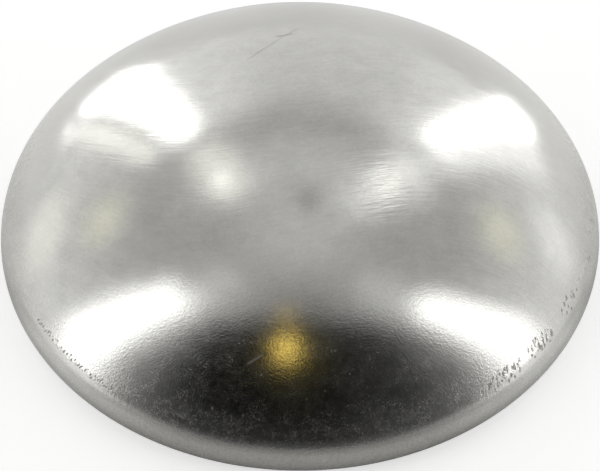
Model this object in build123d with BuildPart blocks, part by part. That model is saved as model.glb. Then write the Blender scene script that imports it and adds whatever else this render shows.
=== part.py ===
from build123d import *
from math import cos, radians, sqrt, tan
import os

os.makedirs("parts", exist_ok=True)

# millimetres, +Z up, origin at the middle of the rim's footprint

# domed shell, stamped from one sheet
cap_d = 27.0
cap_sheet = 0.5
corner_r = 2.0
corner_span = 39.5
curl_r = 0.8
hem_w = 1.5
hem_edge_break = 0.15

# spring retainer, crimped inside the rim
axle_d = 12.7
grip_bite = 0.15
nut_sheet = 0.4
nut_side_gap = 0.4
nut_bend_r = 0.6
lip_gap = 0.05
bead_foot = 0.75
bead_crest = 0.25
bead_rise = 0.35
web_w = 0.6
tooth_count = 8
tooth_slope = 32.0
tooth_corner_r = 0.3
slot_w = 1.15
eye_r = 0.6
eye_inset = 0.4

# worked out from the sizes above
rim_r = cap_d / 2
corner_mid_r = rim_r - corner_r
curl_mid_r = rim_r - curl_r
hem_in_r = curl_mid_r - hem_w
crown_r = corner_r + corner_mid_r / cos(radians(corner_span))
crown_mid_z = curl_r - corner_mid_r * tan(radians(corner_span))
nut_out_r = rim_r - cap_sheet - nut_side_gap
bead_mid_r = hem_in_r - bead_foot
tooth_root_r = bead_mid_r - bead_foot - web_w
eye_mid_r = tooth_root_r - eye_inset
grip_r = axle_d / 2 - grip_bite
# the lip stops just short of the inside of the corner roll
lip_top_z = curl_r - lip_gap + sqrt(
    (corner_r - cap_sheet) ** 2 - (nut_out_r - corner_mid_r) ** 2
)
# the cone runs a little past the grip and is trimmed back to it
cone_end_r = grip_r - nut_sheet
cone_end_z = cap_sheet + (tooth_root_r - cone_end_r) * tan(radians(tooth_slope))

# ---- dome_cap: crown, corner roll, curl and flat hem as one skin, thickened inwards ----
with BuildPart() as dome_cap:
    with BuildSketch(Plane.XZ) as cap_section:
        with BuildLine() as cap_skin:
            CenterArc((0, crown_mid_z), crown_r, 90, corner_span - 90)
            CenterArc((corner_mid_r, curl_r), corner_r, corner_span, -corner_span)
            CenterArc((curl_mid_r, curl_r), curl_r, 0, -90)
            Line((curl_mid_r, 0), (hem_in_r, 0))
            offset(amount=cap_sheet, side=Side.RIGHT)
        make_face()
    revolve(axis=Axis.Z)
    # the sheared edge of the hem is broken on both sides
    hem_edges = dome_cap.edges().filter_by(GeomType.CIRCLE).filter_by(
        lambda edge: abs(edge.radius - hem_in_r) < hem_edge_break
    )
    fillet(hem_edges, radius=hem_edge_break)
dome_cap.part.label = "dome_cap"
export_step(dome_cap.part, "parts/dome_cap.step")

# ---- push_nut: upturned lip, flat seat, pressed bead and a cone cut into sprung teeth ----
with BuildPart() as push_nut:
    with BuildSketch(Plane.XZ) as nut_section:
        with BuildLine() as nut_underside:
            FilletPolyline(
                (nut_out_r, lip_top_z),
                (nut_out_r, cap_sheet),
                (bead_mid_r + bead_foot, cap_sheet),
                (bead_mid_r + bead_crest, cap_sheet + bead_rise),
                (bead_mid_r - bead_crest, cap_sheet + bead_rise),
                (bead_mid_r - bead_foot, cap_sheet),
                (tooth_root_r, cap_sheet),
                (cone_end_r, cone_end_z),
                radius=nut_bend_r,
            )
            offset(amount=nut_sheet, side=Side.RIGHT)
        make_face()
    revolve(axis=Axis.Z)
    # axle hole and keyhole slots; the tooth corners are rounded with the cut
    with BuildSketch() as tooth_cut:
        Circle(grip_r)
        with PolarLocations(eye_mid_r / 2, tooth_count):
            Rectangle(eye_mid_r, slot_w)
        tip_corners = tooth_cut.vertices().sort_by_distance((0, 0, 0))[: 2 * tooth_count]
        fillet(tip_corners, radius=tooth_corner_r)
        with PolarLocations(eye_mid_r, tooth_count):
            Circle(eye_r)
    extrude(amount=cone_end_z + nut_sheet * 2, mode=Mode.SUBTRACT)
push_nut.part.label = "push_nut"
export_step(push_nut.part, "parts/push_nut.step")
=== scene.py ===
import math

import bmesh
import bpy
import numpy as np
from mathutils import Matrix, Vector


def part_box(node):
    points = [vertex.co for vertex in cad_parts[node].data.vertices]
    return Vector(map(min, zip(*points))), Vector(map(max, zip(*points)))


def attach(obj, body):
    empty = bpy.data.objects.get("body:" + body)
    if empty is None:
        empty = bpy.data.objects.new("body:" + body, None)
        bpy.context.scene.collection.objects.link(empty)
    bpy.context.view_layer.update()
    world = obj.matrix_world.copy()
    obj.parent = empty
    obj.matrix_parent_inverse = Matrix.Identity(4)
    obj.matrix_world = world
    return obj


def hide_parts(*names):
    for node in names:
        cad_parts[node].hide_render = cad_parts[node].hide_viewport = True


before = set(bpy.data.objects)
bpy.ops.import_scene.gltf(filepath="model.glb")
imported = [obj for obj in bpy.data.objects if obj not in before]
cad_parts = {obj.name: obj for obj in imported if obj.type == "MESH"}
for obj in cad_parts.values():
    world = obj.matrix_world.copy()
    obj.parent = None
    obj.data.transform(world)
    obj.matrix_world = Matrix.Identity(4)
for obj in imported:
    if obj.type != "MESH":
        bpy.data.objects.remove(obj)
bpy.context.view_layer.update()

MM = 0.001
DEGREES = 180.0 / math.pi

# Sheet and bends of the stamped cap; the rest follows from the frame.
SHEET = 0.5 * MM
CORNER_R = 2.0 * MM
CORNER_SPAN = math.radians(39.5)
CURL_R = 0.8 * MM
HEM_W = 1.5 * MM
HEM_BREAK = 0.15 * MM

# A ring of the shell this small is its apex.
AT_APEX = 0.0001 * MM

cap_low, cap_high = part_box("dome_cap")
RIM_R = (cap_high[0] - cap_low[0]) / 2
CORNER_MID_R = RIM_R - CORNER_R
CURL_MID_R = RIM_R - CURL_R
HEM_IN_R = CURL_MID_R - HEM_W
CROWN_R = CORNER_R + CORNER_MID_R / math.cos(CORNER_SPAN)
CROWN_MID_Z = CURL_R - CORNER_MID_R * math.tan(CORNER_SPAN)
CREASE_R = CORNER_MID_R + CORNER_R * math.cos(CORNER_SPAN)


# ---------------------------------------------------------------- shader arithmetic

# Sockets of the Mix node when it mixes colours, whose names repeat those for numbers.
MIX_SHARE, MIX_FIRST, MIX_SECOND, MIX_RESULT = 0, 6, 7, 2


class Value:
    """A number socket in a node tree; arithmetic on it adds the Math nodes."""

    def __init__(self, tree, socket):
        self.tree = tree
        self.socket = socket

    def math(self, operation, *terms):
        return self.tree.node("ShaderNodeMath", {"operation": operation}, dict(enumerate(terms)))

    def __add__(self, other):
        return self.math("ADD", self, other)

    __radd__ = __add__

    def __sub__(self, other):
        return self.math("SUBTRACT", self, other)

    def __rsub__(self, other):
        return self.math("SUBTRACT", other, self)

    def __mul__(self, other):
        return self.math("MULTIPLY", self, other)

    __rmul__ = __mul__

    def __truediv__(self, other):
        return self.math("DIVIDE", self, other)

    def __pow__(self, other):
        return self.math("POWER", self, other)

    def __abs__(self):
        return self.math("ABSOLUTE", self)

    def most(self, other):
        return self.math("MAXIMUM", self, other)

    def least(self, other):
        return self.math("MINIMUM", self, other)

    def rise(self, low, high):
        """0 at low, 1 at high, eased between."""
        return self.tree.node(
            "ShaderNodeMapRange",
            {"interpolation_type": "SMOOTHSTEP"},
            {"Value": self, "From Min": low, "From Max": high},
        )

    def fall(self, low, high):
        """1 at low, 0 at high, eased between."""
        return 1.0 - self.rise(low, high)


class Tree:
    """The node tree of a material or the world; node() adds any node to it."""

    def __init__(self, owner):
        owner.use_nodes = True
        self.nodes = owner.node_tree.nodes
        self.links = owner.node_tree.links
        self.nodes.clear()

    def node(self, kind, settings=None, sockets=None, output=0):
        """Adds a node: its settings first, then a number, a colour or a Value for each socket."""
        made = self.nodes.new(kind)
        for name, setting in (settings or {}).items():
            if name == "stops":
                self._set_stops(made.color_ramp, setting)
            else:
                setattr(made, name, setting)
        for name, value in (sockets or {}).items():
            if isinstance(value, Value):
                self.links.new(value.socket, made.inputs[name])
            else:
                made.inputs[name].default_value = value
        return Value(self, made.outputs[output]) if made.outputs else made

    @staticmethod
    def _set_stops(ramp, stops):
        while len(ramp.elements) < len(stops):
            ramp.elements.new(1.0)
        for element, (place, level) in zip(ramp.elements, stops):
            element.position = place
            element.color = (level, level, level, 1.0)

    def output_of(self, value, name):
        """Another output of the node that a value comes from."""
        return Value(self, value.socket.node.outputs[name])

    def place_in_mm(self):
        """The place on the piece, in mm."""
        place = self.node("ShaderNodeTexCoord", output="Object")
        return self.node("ShaderNodeVectorMath", {"operation": "SCALE"}, {0: place, "Scale": 1.0 / MM})

    def parts(self, vector):
        """The x, y and z of a vector."""
        split = self.node("ShaderNodeSeparateXYZ", None, {0: vector}).socket.node
        return [Value(self, socket) for socket in split.outputs]

    def join(self, x, y, z):
        return self.node("ShaderNodeCombineXYZ", None, {0: x, 1: y, 2: z})

    def blend(self, share, first, second):
        """The colour between first and second."""
        sockets = {MIX_SHARE: share, MIX_FIRST: first, MIX_SECOND: second}
        return self.node("ShaderNodeMix", {"data_type": "RGBA"}, sockets, MIX_RESULT)

    def noise(self, place, scale, detail=2.0, roughness=0.5):
        sockets = {"Vector": place, "Scale": scale, "Detail": detail, "Roughness": roughness}
        return self.node("ShaderNodeTexNoise", None, sockets)


def new_material(name):
    material = bpy.data.materials.new(name)
    return material, Tree(material)


def from_front(x, y):
    """The bearing of a place seen from above, in radians: 0 at the front, growing to the right."""
    return x.math("ARCTAN2", x, y * -1.0)


def strongest(masks):
    """At each place the most of several masks."""
    kept = masks[0]
    for mask in masks[1:]:
        kept = kept.most(mask)
    return kept


# ---------------------------------------------------------------- the cap's surface

NICKEL_LIT = (0.67, 0.665, 0.639, 1.0)
NICKEL_DIM = (0.57, 0.567, 0.541, 1.0)
NICKEL_DULL = (0.44, 0.435, 0.41, 1.0)
NICKEL_STAINED = (0.5, 0.49, 0.455, 1.0)
PIT_GRIME = (0.16, 0.145, 0.11, 1.0)
SPRING_STEEL = (0.24, 0.225, 0.205, 1.0)
SPRING_STAINED = (0.3, 0.27, 0.235, 1.0)
SPRING_WORN = (0.46, 0.45, 0.43, 1.0)

# Marks on the plate, in mm from the cap's middle seen from above.
# Hairlines towards the back: start, end, half the width, and how deep.
HAIRLINES = (
    ((-2.5, 3.66), (-1.2, 5.1), 0.05, 0.6),
    ((-1.6, 4.6), (-0.5, 6.1), 0.045, 0.6),
    ((-2.1, 4.25), (-0.95, 5.3), 0.035, 0.6),
    ((-0.8, 5.7), (0.15, 6.75), 0.045, 0.6),
    ((-1.2, 5.7), (-0.2, 6.0), 0.07, 1.0),
)

# A short nick at the front: start, end and half the width.
NICK = ((-2.45, -10.76), (-1.3, -10.33), 0.08)

# A patch rubbed with a buff: its middle, and the squares of the radii between which it fades.
RUB_MIDDLE = (3.4, -3.6)
RUB_FADE = (0.4, 2.6)

# Specks of dust: middle and radius.
DUST_NIBS = (
    ((1.87, -1.31), 0.08),
    ((-3.7, -11.88), 0.08),
    ((-2.4, -12.24), 0.07),
    ((-1.95, -12.3), 0.06),
    ((1.23, -12.69), 0.07),
    ((1.05, -11.6), 0.05),
    ((2.1, -11.0), 0.05),
    ((-5.2, -9.6), 0.06),
)


def spot(x, y, middle, radius):
    """1 at a spot seen from above, eased to 0 at its radius, in mm."""
    away = ((x - middle[0]) ** 2.0 + (y - middle[1]) ** 2.0) ** 0.5
    return away.fall(radius * 0.3, radius)


def scratch(x, y, start, end, half_width):
    """1 along a straight scratch seen from above, dying out towards its ends, in mm."""
    run_x, run_y = end[0] - start[0], end[1] - start[1]
    length = math.hypot(run_x, run_y)
    run_x, run_y = run_x / length, run_y / length
    along = (x - start[0]) * run_x + (y - start[1]) * run_y
    off = abs((x - start[0]) * run_y - (y - start[1]) * run_x)
    depth = along.rise(0.0, length * 0.3) * along.fall(length * 0.7, length)
    return off.fall(half_width * 0.2, half_width) * depth


def crease_pits(tree, turn, from_crease, grain):
    """Short nicks along the meridian in two runs round the crease, finer to the left."""
    spread = turn.rise(-30.0, 30.0)
    ragged = (grain - 0.5) * (1.6 + spread * 0.9)
    round_cap = turn * (1.6 - spread * 0.4) + ragged
    down_cap = from_crease * (6.6 - spread * 1.8) - ragged
    cells = tree.node(
        "ShaderNodeTexVoronoi",
        {"voronoi_dimensions": "2D"},
        {"Vector": tree.join(round_cap, down_cap, 0.0), "Scale": 1.0, "Randomness": 1.0},
    )
    chance = tree.parts(tree.output_of(cells, "Color"))[0]
    patches = tree.noise(tree.join(turn * 0.16, 3.0, 0.0), 1.0, 1.0, 0.5).rise(0.35, 0.55)
    left_run = turn.rise(-72.0, -50.0) * turn.fall(-40.0, -35.0)
    right_run = turn.rise(31.0, 38.0) * turn.fall(88.0, 98.0)
    right_run = right_run * patches * (0.4 + 0.6 * turn.fall(60.0, 68.0))
    in_line = abs(from_crease + spread * 0.07 - 0.03).fall(0.02, 0.14 + 0.17 * spread)
    chosen = in_line * left_run.most(right_run) - chance * (1.0 - spread * 0.4)
    return cells.fall(0.12, 0.38) * chosen.rise(0.0, 0.25)


def polished_nickel():
    """Bright plate on the outside: fine polishing lines, stretch grain and pits at the crease."""
    material, tree = new_material("polished nickel plate")
    mm = tree.place_in_mm()
    x, y, z = tree.parts(mm)
    out_r = (x * x + y * y) ** 0.5
    turn = from_front(x, y) * DEGREES
    front = y.fall(-9.5, -5.0)
    front_half = y.fall(-7.0, -3.0)

    # polishing lines run across the cap, swept a little by the wheel
    across = y - x * 0.23 - x * x * 0.022 + x * x * x * 0.0027
    bands = tree.noise(tree.join(x * 0.12, across * 1.1, 0.0), 1.0, 3.0, 0.6)
    lines = tree.noise(tree.join(x * 0.45, across * 4.5, 5.0), 1.0, 3.0, 0.6)
    fine_lines = tree.noise(tree.join(x * 1.3, across * 12.0, 9.0), 1.0, 2.0, 0.5)

    # clouding and grain of the plate, from the coarse to the fine
    haze = tree.noise(mm, 0.28, 3.0, 0.55)
    mottle = tree.noise(mm, 1.3, 4.0, 0.65)
    blotch = tree.noise(mm, 5.0, 3.0, 0.6) - 0.5
    grain = tree.noise(mm, 7.5, 3.0, 0.7)
    stretch = tree.noise(mm, 11.5, 3.0, 0.65)

    # the sheet is stretched where the crown turns down into the corner roll
    from_crease = out_r - CREASE_R / MM
    crease = abs(from_crease).fall(0.0, 1.1)
    rolled = from_crease.rise(-0.1, 0.15)
    draw_marks = tree.noise(tree.join(turn * 0.9, z * 0.5, 0.0), 1.0, 3.0, 0.6)

    pits = crease_pits(tree, turn, from_crease, grain)
    hairline = strongest([scratch(x, y, *line) * depth for *line, depth in HAIRLINES])
    nick = scratch(x, y, *NICK)
    rub = ((x - RUB_MIDDLE[0]) ** 2.0 + (y - RUB_MIDDLE[1]) ** 2.0).fall(*RUB_FADE)
    nibs = strongest([spot(x, y, *nib) for nib in DUST_NIBS])

    tone = (mottle - 0.5) * 1.5 + (grain - 0.5) * 1.1 + (fine_lines - 0.5) * 0.7 + (bands - 0.5) * 0.5
    colour = tree.blend((tone + 0.5).most(0.0).least(1.0), NICKEL_DIM, NICKEL_LIT)
    colour = tree.blend((pits * 0.75).most(hairline * 0.45), colour, PIT_GRIME)
    rough = 0.17 + (haze - 0.5) * 0.06 + (bands - 0.5) * 0.1 - front * 0.03
    rough = rough + pits * 0.25 + hairline * 0.2

    relief = bands * (1.5 - 1.35 * front_half)
    relief = relief + (lines * 0.9 + fine_lines * 0.4) * (1.0 + rub * 3.5 - front_half * 0.88)
    relief = relief + grain * (0.5 + 0.2 * front) + draw_marks * rolled * 3.0
    relief = relief + stretch * (0.15 + 1.0 * front + 1.3 * crease)
    relief = relief - pits * 3.0 - hairline * 2.5 - nick
    bumps = {"Strength": 1.0, "Distance": 0.003 * MM, "Height": relief}
    normal = tree.node("ShaderNodeBump", None, bumps)

    # a duller bloom lies over the bright plate in specks, most of all at the crease
    plate = {"Base Color": colour, "Metallic": 1.0, "Normal": normal}
    bright = tree.node("ShaderNodeBsdfPrincipled", None, {**plate, "Roughness": rough})
    bloom = tree.node("ShaderNodeBsdfPrincipled", None, {**plate, "Roughness": 0.4})
    specks = stretch.rise(0.42, 0.8) * (0.3 + 1.3 * mottle.rise(0.38, 0.62))
    share = 0.04 + specks * (0.03 + 0.14 * front + 0.3 * crease)
    share = share + (mottle - 0.5) * (0.14 + 0.06 * front)
    share = share + blotch * (0.34 * front + 0.75 * crease)
    share = share.most(nick * 0.35).most(pits * 0.5).most(nibs * 0.55)
    shader = tree.node("ShaderNodeMixShader", None, {0: share, 1: bright, 2: bloom})
    tree.node("ShaderNodeOutputMaterial", None, {"Surface": shader})
    return material


def dull_nickel():
    """Thin plate inside the cap and on the hem, as it comes from the press."""
    material, tree = new_material("unpolished nickel plate")
    mm = tree.place_in_mm()
    stain = tree.noise(mm, 0.6, 4.0, 0.6)
    grain = tree.noise(mm, 9.0, 3.0, 0.6)
    colour = tree.blend(stain.rise(0.35, 0.7), NICKEL_DULL, NICKEL_STAINED)
    bumps = {"Strength": 0.4, "Distance": 0.01 * MM, "Height": grain}
    normal = tree.node("ShaderNodeBump", None, bumps)
    shader = tree.node(
        "ShaderNodeBsdfPrincipled",
        None,
        {
            "Base Color": colour,
            "Metallic": 1.0,
            "Roughness": 0.34 + (stain - 0.5) * 0.2,
            "Normal": normal,
        },
    )
    tree.node("ShaderNodeOutputMaterial", None, {"Surface": shader})
    return material


def spring_steel():
    """Oil-tempered strip of the retainer: dark, rolled grain, rubbed paler at the tooth tips."""
    material, tree = new_material("oil tempered spring steel")
    mm = tree.place_in_mm()
    x, y, z = tree.parts(mm)
    rolled = tree.noise(tree.join(x * 12.0, y * 0.8, z * 2.0), 1.0, 3.0, 0.6)
    stain = tree.noise(mm, 0.8, 4.0, 0.6)
    tips = z.rise(1.7, 2.7)
    colour = tree.blend(stain.rise(0.3, 0.75), SPRING_STEEL, SPRING_STAINED)
    colour = tree.blend(tips * 0.7, colour, SPRING_WORN)
    bumps = {"Strength": 0.4, "Distance": 0.008 * MM, "Height": rolled + stain * 0.5}
    normal = tree.node("ShaderNodeBump", None, bumps)
    shader = tree.node(
        "ShaderNodeBsdfPrincipled",
        None,
        {
            "Base Color": colour,
            "Metallic": 1.0,
            "Roughness": 0.4 + (rolled - 0.5) * 0.25 - tips * 0.08,
            "Normal": normal,
        },
    )
    tree.node("ShaderNodeOutputMaterial", None, {"Surface": shader})
    return material


# ---------------------------------------------------------------- the cap's shell


def arc(mid, radius, start, end, steps):
    """Points (r, z) on an arc about mid, angles in radians above the horizontal."""
    angles = [start + (end - start) * i / steps for i in range(steps + 1)]
    return [(mid[0] + radius * math.cos(a), mid[1] + radius * math.sin(a)) for a in angles]


def skin(inset, steps):
    """The crown, corner roll and curl from the apex down, inset from the outside by that much."""
    crown, corner, curl = steps
    quarter = math.pi / 2
    points = arc((0.0, CROWN_MID_Z), CROWN_R - inset, quarter, CORNER_SPAN, crown)
    points += arc((CORNER_MID_R, CURL_R), CORNER_R - inset, CORNER_SPAN, 0.0, corner)[1:]
    points += arc((CURL_MID_R, CURL_R), CURL_R - inset, 0.0, -quarter, curl)[1:]
    return points


def cap_section():
    """The closed section of the sheet: the polished skin down and under, and the rest back up inside."""
    edge_mid = HEM_IN_R + HEM_BREAK
    outside = skin(0.0, (60, 22, 12))
    inside = skin(SHEET, (18, 8, 6))
    hem_steps = 3
    hem_step = (edge_mid - CURL_MID_R) / hem_steps
    hem_under = [(CURL_MID_R + hem_step * i, 0.0) for i in range(1, hem_steps)]
    edge = arc((edge_mid, HEM_BREAK), HEM_BREAK, -math.pi / 2, -math.pi, 4)
    edge += arc((edge_mid, SHEET - HEM_BREAK), HEM_BREAK, math.pi, math.pi / 2, 4)
    # the polish ends just round the hem's edge
    return outside + hem_under + edge[:2], edge[2:] + inside[::-1]


def cap_shell(turns=576):
    """The cap as one closed turned mesh; past the polished skin it has the second material."""
    polished, unpolished = cap_section()
    mesh = bmesh.new()
    angles = [2 * math.pi * i / turns for i in range(turns)]
    rings = []
    for radius, height in polished + unpolished:
        if radius < AT_APEX:
            rings.append([mesh.verts.new((0.0, 0.0, height))])
            continue
        ring = [(radius * math.cos(angle), radius * math.sin(angle), height) for angle in angles]
        rings.append([mesh.verts.new(point) for point in ring])
    for index, (upper, lower) in enumerate(zip(rings, rings[1:])):
        for i in range(turns):
            j = (i + 1) % turns
            left = [upper[i % len(upper)], lower[i % len(lower)]]
            right = [lower[j % len(lower)], upper[j % len(upper)]]
            # the apex is one point, so its faces name it once
            face = mesh.faces.new(list(dict.fromkeys(left + right)))
            face.smooth = True
            face.material_index = 0 if index < len(polished) - 1 else 1
    mesh.normal_update()
    data = bpy.data.meshes.new("cap_shell")
    mesh.to_mesh(data)
    mesh.free()
    piece = bpy.data.objects.new("cap_shell", data)
    bpy.context.collection.objects.link(piece)
    data.materials.append(polished_nickel())
    data.materials.append(dull_nickel())
    return piece


shell = cap_shell()
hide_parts("dome_cap")
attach(shell, "root")

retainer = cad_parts["push_nut"]
steel = spring_steel()
for slot in retainer.material_slots:
    slot.material = steel


# ---------------------------------------------------------------- the studio

TENT_R = 1.2
FLOOR_R = 1.0

# How bright the bare strip lamps are, where plain white is 1.
LAMP = 2.8

# How grey the paper is, and its own glow, which together come to plain white.
PAPER_GREY = 0.55
PAPER_GLOW = 0.63

# Colours of the light.
WHITE = (1.0, 1.0, 1.0, 1.0)
PLAIN = (1.0, 1.0, 1.0)
STRAW = (1.0, 0.99, 0.85)
CREAM = (1.0, 0.99, 0.95)
GOLD = (1.0, 0.715, 0.16)
OLIVE = (1.0, 0.93, 0.45)

# Lamps and glows on the tent: foot and head as (bearing, height) in degrees, half the width at
# each, how soft the edge is, and the colour. Bearings start at the camera and grow to the right.
TENT_LIGHTS = (
    # side strip lamps, leaning in over the camera and narrowing upwards, and the glows round them
    ((-65, 53), (-54.5, 67), (5.5, 5.5), 5.0, 0.79, PLAIN),
    ((61.5, 53), (51, 67), (5.5, 5.5), 5.0, 0.74, PLAIN),
    ((-76, -6), (-74, 12), (8.0, 8.0), 5.0, 1.12, PLAIN),
    ((72.5, -6), (73, 13), (4.0, 4.0), 3.0, 1.2, PLAIN),
    ((-63, 29), (-60.5, 50), (3.0, 3.0), 3.0, 0.5, PLAIN),
    ((-67, 45), (-59.5, 55), (3.2, 3.0), 2.5, 1.5, PLAIN),
    ((66, 44), (59.5, 54), (3.0, 2.6), 2.5, 1.2, PLAIN),
    ((-82.7, 8.2), (-68.6, 50.5), (7.7, 4.5), 4.0, LAMP, PLAIN),
    ((83, 8.5), (65, 49), (6.7, 3.5), 4.0, LAMP, PLAIN),
    # rear strip lamps; the left one has a batten's shadow and slivers of light beside it
    ((-146.5, -9), (-138.3, 20), (3.1, 3.4), 1.5, 1.75, CREAM),
    ((-140.5, 14), (-133.7, 37), (3.7, 3.4), 1.8, 1.65, CREAM),
    ((-164.5, -5), (-156.5, 42), (8.0, 7.5), 6.0, 0.97, PLAIN),
    ((-153.8, -13), (-143.6, 40.8), (6.8, 4.4), 2.5, LAMP, PLAIN),
    ((-148, -13), (-136.6, 38), (1.2, 1.1), 0.5, 0.2, PLAIN),
    ((137, 0), (132.5, 41), (6.0, 4.0), 3.0, 1.45, PLAIN),
    ((150, -5), (145, 45), (10.0, 8.0), 6.0, 0.92, PLAIN),
    ((156.5, -4), (155, 17), (4.5, 4.5), 4.0, 1.0, PLAIN),
    ((145.8, -10), (139.2, 38.0), (4.7, 3.5), 3.0, LAMP, PLAIN),
    # glows above the rear lamps
    ((-122, 52), (-111, 57), (6.0, 6.0), 6.0, 0.57, PLAIN),
    ((122, 52), (106, 57), (6.0, 6.0), 6.0, 0.58, PLAIN),
    ((-142.5, 46), (-126, 69), (5.5, 5.5), 5.0, 1.25, CREAM),
    ((-136, 58), (-130, 63), (2.0, 2.0), 2.0, 2.5, CREAM),
    ((122, 68), (135, 80), (6.0, 6.0), 6.0, 0.72, PLAIN),
    ((133.5, 43), (120.5, 72), (7.0, 5.5), 5.0, 1.25, PLAIN),
    ((133.5, 53), (129, 62.5), (2.3, 2.3), 2.5, 2.2, CREAM),
    # light folds of the cloth at the sides
    ((-111, 18), (-103, 21), (4.5, 4.5), 4.5, 0.71, PLAIN),
    ((-125, 5), (-108, 9), (6.5, 6.5), 4.5, 1.22, CREAM),
    ((107, 8.5), (122, 7), (6.5, 6.5), 4.5, 1.25, PLAIN),
    ((-115, 25), (-108.5, 33.5), (6.0, 6.0), 5.0, 1.0, STRAW),
    ((105, 29), (112, 27), (6.5, 6.5), 5.0, 0.98, STRAW),
    # the hole at the top of the tent
    ((167.5, 77), (168.5, 80), (2.6, 2.6), 2.5, 0.12, PLAIN),
    # a tungsten lamp over the card, and a spark of it above
    ((-4, 49.5), (0, 55), (10.0, 10.0), 8.0, 0.036, OLIVE),
    ((-7.4, 50.2), (-6.4, 57.0), (2.6, 2.5), 2.2, 2.5, GOLD),
    ((-10, 63), (-9, 64), (1.3, 1.3), 1.0, 1.8, GOLD),
)

# How bright the tent's cloth is by height in degrees, at the back and over the flanks.
BACK_CLOTH = (
    (0, 0.86),
    (20, 0.80),
    (35, 0.76),
    (42, 0.64),
    (49, 0.44),
    (58, 0.64),
    (67, 0.7),
    (76, 0.62),
    (90, 0.69),
)
FLANK_CLOTH = (
    (0, 0.8),
    (8, 0.92),
    (14, 0.87),
    (20, 0.75),
    (30, 0.63),
    (45, 0.46),
    (60, 0.46),
    (67, 0.465),
    (75, 0.55),
    (82, 0.635),
    (90, 0.69),
)

# How bright the front card is by height: its middle, and what its ends and sides add.
CARD_MIDDLE = ((0, 0.148), (10, 0.06), (22, 0.038), (26.5, 0.032), (31, 0.004))
CARD_ENDS = ((0, 0.2), (14, 0.17), (22, 0.13), (28, 0.14), (40, 0.2))
CARD_RIGHT = ((0, 0.024), (20, 0.036), (35, 0.012))
CARD_LEFT = ((0, 0.03), (20, 0.02), (30, 0.0))
CARD_HIGH_RIGHT = ((30, 0.0), (38, 0.03), (48, 0.03), (56, 0.0))
CARD_FOOT = 0.04

# What the shade above the card takes off the cloth where it is deepest.
CARD_SHADE = 0.36

# How bright the painted light on the paper is in the cap's reflections, by bearing as a share of a half
# turn.
PAPER_PAINTED_LIGHT = (
    (0.0, 0.14),
    (0.12, 0.15),
    (0.17, 0.2),
    (0.21, 0.36),
    (0.26, 0.51),
    (0.31, 0.69),
    (0.36, 0.72),
    (0.42, 0.38),
    (0.47, 0.5),
    (0.53, 0.53),
    (0.6, 0.54),
    (0.67, 0.76),
    (0.75, 0.72),
    (0.86, 0.62),
    (0.93, 0.67),
    (1.0, 0.58),
)


def bearing(turn, lift):
    """The direction at a bearing from the camera's side and a height, in degrees."""
    turn, lift = math.radians(turn), math.radians(lift)
    return np.array((math.sin(turn) * math.cos(lift), -math.cos(turn) * math.cos(lift), math.sin(lift)))


def grow(amount, low, high):
    """0 at low, 1 at high, eased between."""
    share = np.clip((amount - low) / (high - low), 0.0, 1.0)
    return share * share * (3.0 - 2.0 * share)


def fade(amount, low, high):
    """1 at low, 0 at high, eased between."""
    return 1.0 - grow(amount, low, high)


def level_at(lift, levels):
    """The brightness at a height, from pairs of height and brightness."""
    return np.interp(lift, *zip(*levels))


def strip(ways, foot, head, half_widths, soft):
    """1 inside a round-ended strip of the tent from foot to head, eased to 0 at its edge."""
    foot, head = bearing(*foot), bearing(*head)
    across = np.cross(foot, head)
    across /= np.linalg.norm(across)
    middle = (foot + head) / np.linalg.norm(foot + head)
    along = np.cross(across, middle)
    off = np.degrees(np.arcsin(np.clip(ways @ across, -1.0, 1.0)))
    run = np.degrees(np.arctan2(ways @ along, ways @ middle))
    half_run = math.degrees(math.acos(foot @ head)) / 2
    share = np.clip(run / half_run, -1.0, 1.0) / 2 + 0.5
    half_width = half_widths[0] + (half_widths[1] - half_widths[0]) * share
    past_end = np.maximum(np.abs(run) - np.maximum(half_run - half_width, 0.0), 0.0)
    return fade(np.hypot(off, past_end), half_width - soft, half_width + soft)


def cloth_level(lift, side):
    """How bright the bare cloth is, from the flanks round to the back."""
    flank = level_at(lift, FLANK_CLOTH)
    back = level_at(lift, BACK_CLOTH)
    return flank + (back - flank) * grow(side, 120, 155)


def card_level(lift, turn):
    """How bright the front card is, lit a little at its ends and foot."""
    side = np.abs(turn)
    level = level_at(lift, CARD_MIDDLE) + level_at(lift, CARD_ENDS) * grow(side, 41, 63)
    level = level + level_at(lift, CARD_RIGHT) * grow(turn, 5, 32)
    level = level + level_at(lift, CARD_LEFT) * grow(-turn, 22, 40)
    level = level + level_at(lift, CARD_HIGH_RIGHT) * grow(turn, 25, 50)
    return level + CARD_FOOT * fade(lift, 3, 14) * grow(side, 20, 50)


def tent_levels(ways):
    """The colour of the tent in each direction: cloth, front card, lamps and glows."""
    lift = np.degrees(np.arcsin(np.clip(ways[:, 2], -1.0, 1.0)))
    turn = np.degrees(np.arctan2(ways[:, 0], -ways[:, 1]))
    side = np.abs(turn)
    # the card hangs from a straight bar, so its top edge is level; a shade fades in above it
    below_top = (90.0 - lift) * np.cos(np.radians(side)) + grow(side, 20, 42)
    shade = grow(below_top, 4, 26) * fade(side, 8, 52)
    level = cloth_level(lift, side) * (1.0 - CARD_SHADE * shade)
    card = grow(below_top, 23, 31) * fade(side, 60, 74)
    level = level + (card_level(lift, turn) - level) * card
    colour = level[:, None] * np.array(PLAIN)
    for foot, head, half_widths, soft, bright, tint in TENT_LIGHTS:
        inside = strip(ways, foot, head, half_widths, soft)[:, None]
        colour = colour + (bright * np.array(tint) - colour) * inside
    return colour


def tent_cloth():
    """Glows with the colour that the tent was painted at each point."""
    material, tree = new_material("studio tent")
    painted = tree.node("ShaderNodeAttribute", {"attribute_name": "glow"})
    shader = tree.node("ShaderNodeEmission", None, {"Color": painted, "Strength": 1.0})
    tree.node("ShaderNodeOutputMaterial", None, {"Surface": shader})
    return material


RAY_KINDS = ("Is Camera Ray", "Is Glossy Ray", "Is Transmission Ray")


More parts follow.
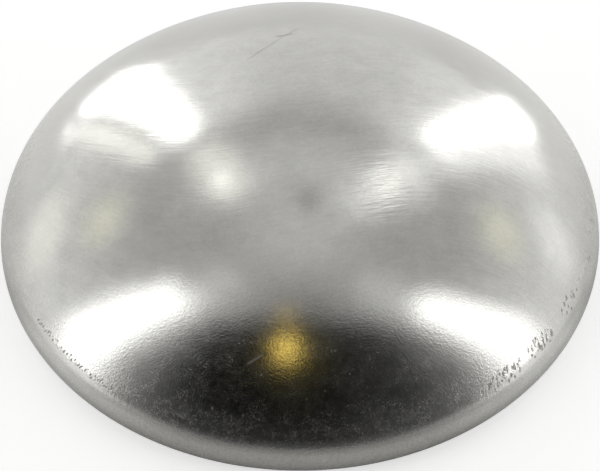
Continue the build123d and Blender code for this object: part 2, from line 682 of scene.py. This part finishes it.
def painted_lamp_pools(x, y, side, distance):
    """Painted pools of the lamps' light on the paper, seen over the cap's shoulders."""
    left = x.fall(-0.5 * RIM_R, 0.5 * RIM_R)
    # the rear lamps' painted pools of light, measured from a point under each shoulder; the left one has a
    # gap
    out_x = abs(x) - 0.68 * RIM_R
    out_y = y - 0.43 * RIM_R
    way = from_front(out_x, out_y) * DEGREES
    rear = (way - left * 6.0).rise(138.5, 141.0) * (way - left * 9.5).fall(149.0, 151.5) * 4.2
    rear = rear + left * way.rise(137.5, 139.5) * way.fall(141.5, 143.0) * 1.5
    near_edge = (2.3 - left * 0.7) * RIM_R**2
    far_edge = (7.5 - left * 1.5) * RIM_R**2
    rear = rear * (out_x * out_x + out_y * out_y).rise(near_edge, far_edge)
    # the side lamps' painted pools of light
    beside = side.rise(0.28, 0.36) * side.fall(0.4, 0.55)
    return rear + beside * distance.rise(1.2 * RIM_R, 2.5 * RIM_R) * 0.8


def floor_paper():
    """White paper, lifted to plain white where the camera sees it; in the reflections it has painted light
    and painted shade.
    """
    material, tree = new_material("white paper floor")
    rays = tree.node("ShaderNodeLightPath").socket.node.outputs
    camera, glossy, through = (Value(tree, rays[kind]) for kind in RAY_KINDS)
    place = tree.node("ShaderNodeNewGeometry", output="Position")
    x, y = tree.parts(place)[:2]
    distance = (x * x + y * y) ** 0.5
    # painted light on the paper, seen only in reflections: a painted shadow of the front card before the
    # cap, and painted lamp light beside the lamps
    side = from_front(abs(x), y) / math.pi
    lit = tree.node("ShaderNodeValToRGB", {"stops": PAPER_PAINTED_LIGHT}, {"Fac": side})
    # a painted contact shadow, darker where the rim stands on the paper, seen only in reflections
    painted_contact_shade = 0.5 + side.rise(0.47, 0.56) * side.fall(0.7, 0.82) * 0.3
    near = painted_contact_shade + (1.0 - painted_contact_shade) * distance.rise(1.0 * RIM_R, 1.14 * RIM_R)
    # further out a painted shadow of the card's foot, seen only in reflections
    painted_card_shadow = distance.rise(1.0 * RIM_R, 2.05 * RIM_R) * 0.5 - distance.rise(1.9 * RIM_R, 3.4 * RIM_R) * 0.22
    mirrored = glossy + through
    kept = 1.0 - mirrored * side.fall(0.26, 0.35) * painted_card_shadow
    seen = camera + mirrored * (lit * near * kept + painted_lamp_pools(x, y, side, distance))
    # in reflections the painted shadow also darkens the paper's own grey
    paper = tree.node("ShaderNodeBsdfDiffuse", None, {"Color": kept * PAPER_GREY})
    glow = tree.node("ShaderNodeEmission", None, {"Color": WHITE, "Strength": seen * PAPER_GLOW})
    both = tree.node("ShaderNodeAddShader", None, {0: paper, 1: glow})
    tree.node("ShaderNodeOutputMaterial", None, {"Surface": both})
    return material


def stage_piece(name, mesh, material):
    """A mesh of the studio, which isn't part of the cap."""
    for face in mesh.faces:
        face.smooth = True
    data = bpy.data.meshes.new(name)
    mesh.to_mesh(data)
    mesh.free()
    data.materials.append(material)
    piece = bpy.data.objects.new(name, data)
    bpy.context.collection.objects.link(piece)
    return piece


def studio_tent():
    """A closed tent, unseen by the camera, with its levels painted on its points."""
    mesh = bmesh.new()
    bmesh.ops.create_icosphere(mesh, subdivisions=7, radius=TENT_R)
    ways = np.array([vert.co for vert in mesh.verts]) / TENT_R
    tent = stage_piece("tent", mesh, tent_cloth())
    glow = tent.data.attributes.new("glow", "FLOAT_VECTOR", "POINT")
    glow.data.foreach_set("vector", tent_levels(ways).astype(np.float32).ravel())
    tent.visible_camera = False


def studio_floor():
    """A disc of white paper under the cap."""
    mesh = bmesh.new()
    bmesh.ops.create_circle(mesh, cap_ends=True, segments=96, radius=FLOOR_R)
    stage_piece("floor", mesh, floor_paper())


studio_tent()
studio_floor()

world = bpy.data.worlds.new("white surround")
bpy.context.scene.world = world
sky = Tree(world)
white = sky.node("ShaderNodeBackground", None, {"Color": WHITE, "Strength": 1.0})
sky.node("ShaderNodeOutputWorld", None, {"Surface": white})


# ---------------------------------------------------------------- the camera

LOOK_DOWN = math.radians(49.0)
STAND_OFF = 10.0 * RIM_R
LENS = 179.0
SENSOR_W = 36.0
AIM_DROP = 0.0298 * RIM_R

toward = Vector((0.0, -math.cos(LOOK_DOWN), math.sin(LOOK_DOWN)))
up = Vector((0.0, math.sin(LOOK_DOWN), math.cos(LOOK_DOWN)))
aim = Vector((0.0, 0.0, CURL_R)) - up * AIM_DROP

camera_data = bpy.data.cameras.new("camera")
camera_data.lens = LENS
camera_data.sensor_width = SENSOR_W
camera_data.clip_start = 0.005
camera_data.clip_end = 10.0
camera = bpy.data.objects.new("camera", camera_data)
bpy.context.collection.objects.link(camera)
camera.location = aim + toward * STAND_OFF
camera.rotation_euler = toward.to_track_quat("Z", "Y").to_euler()
bpy.context.scene.camera = camera
bpy.context.scene.view_settings.view_transform = "Standard"
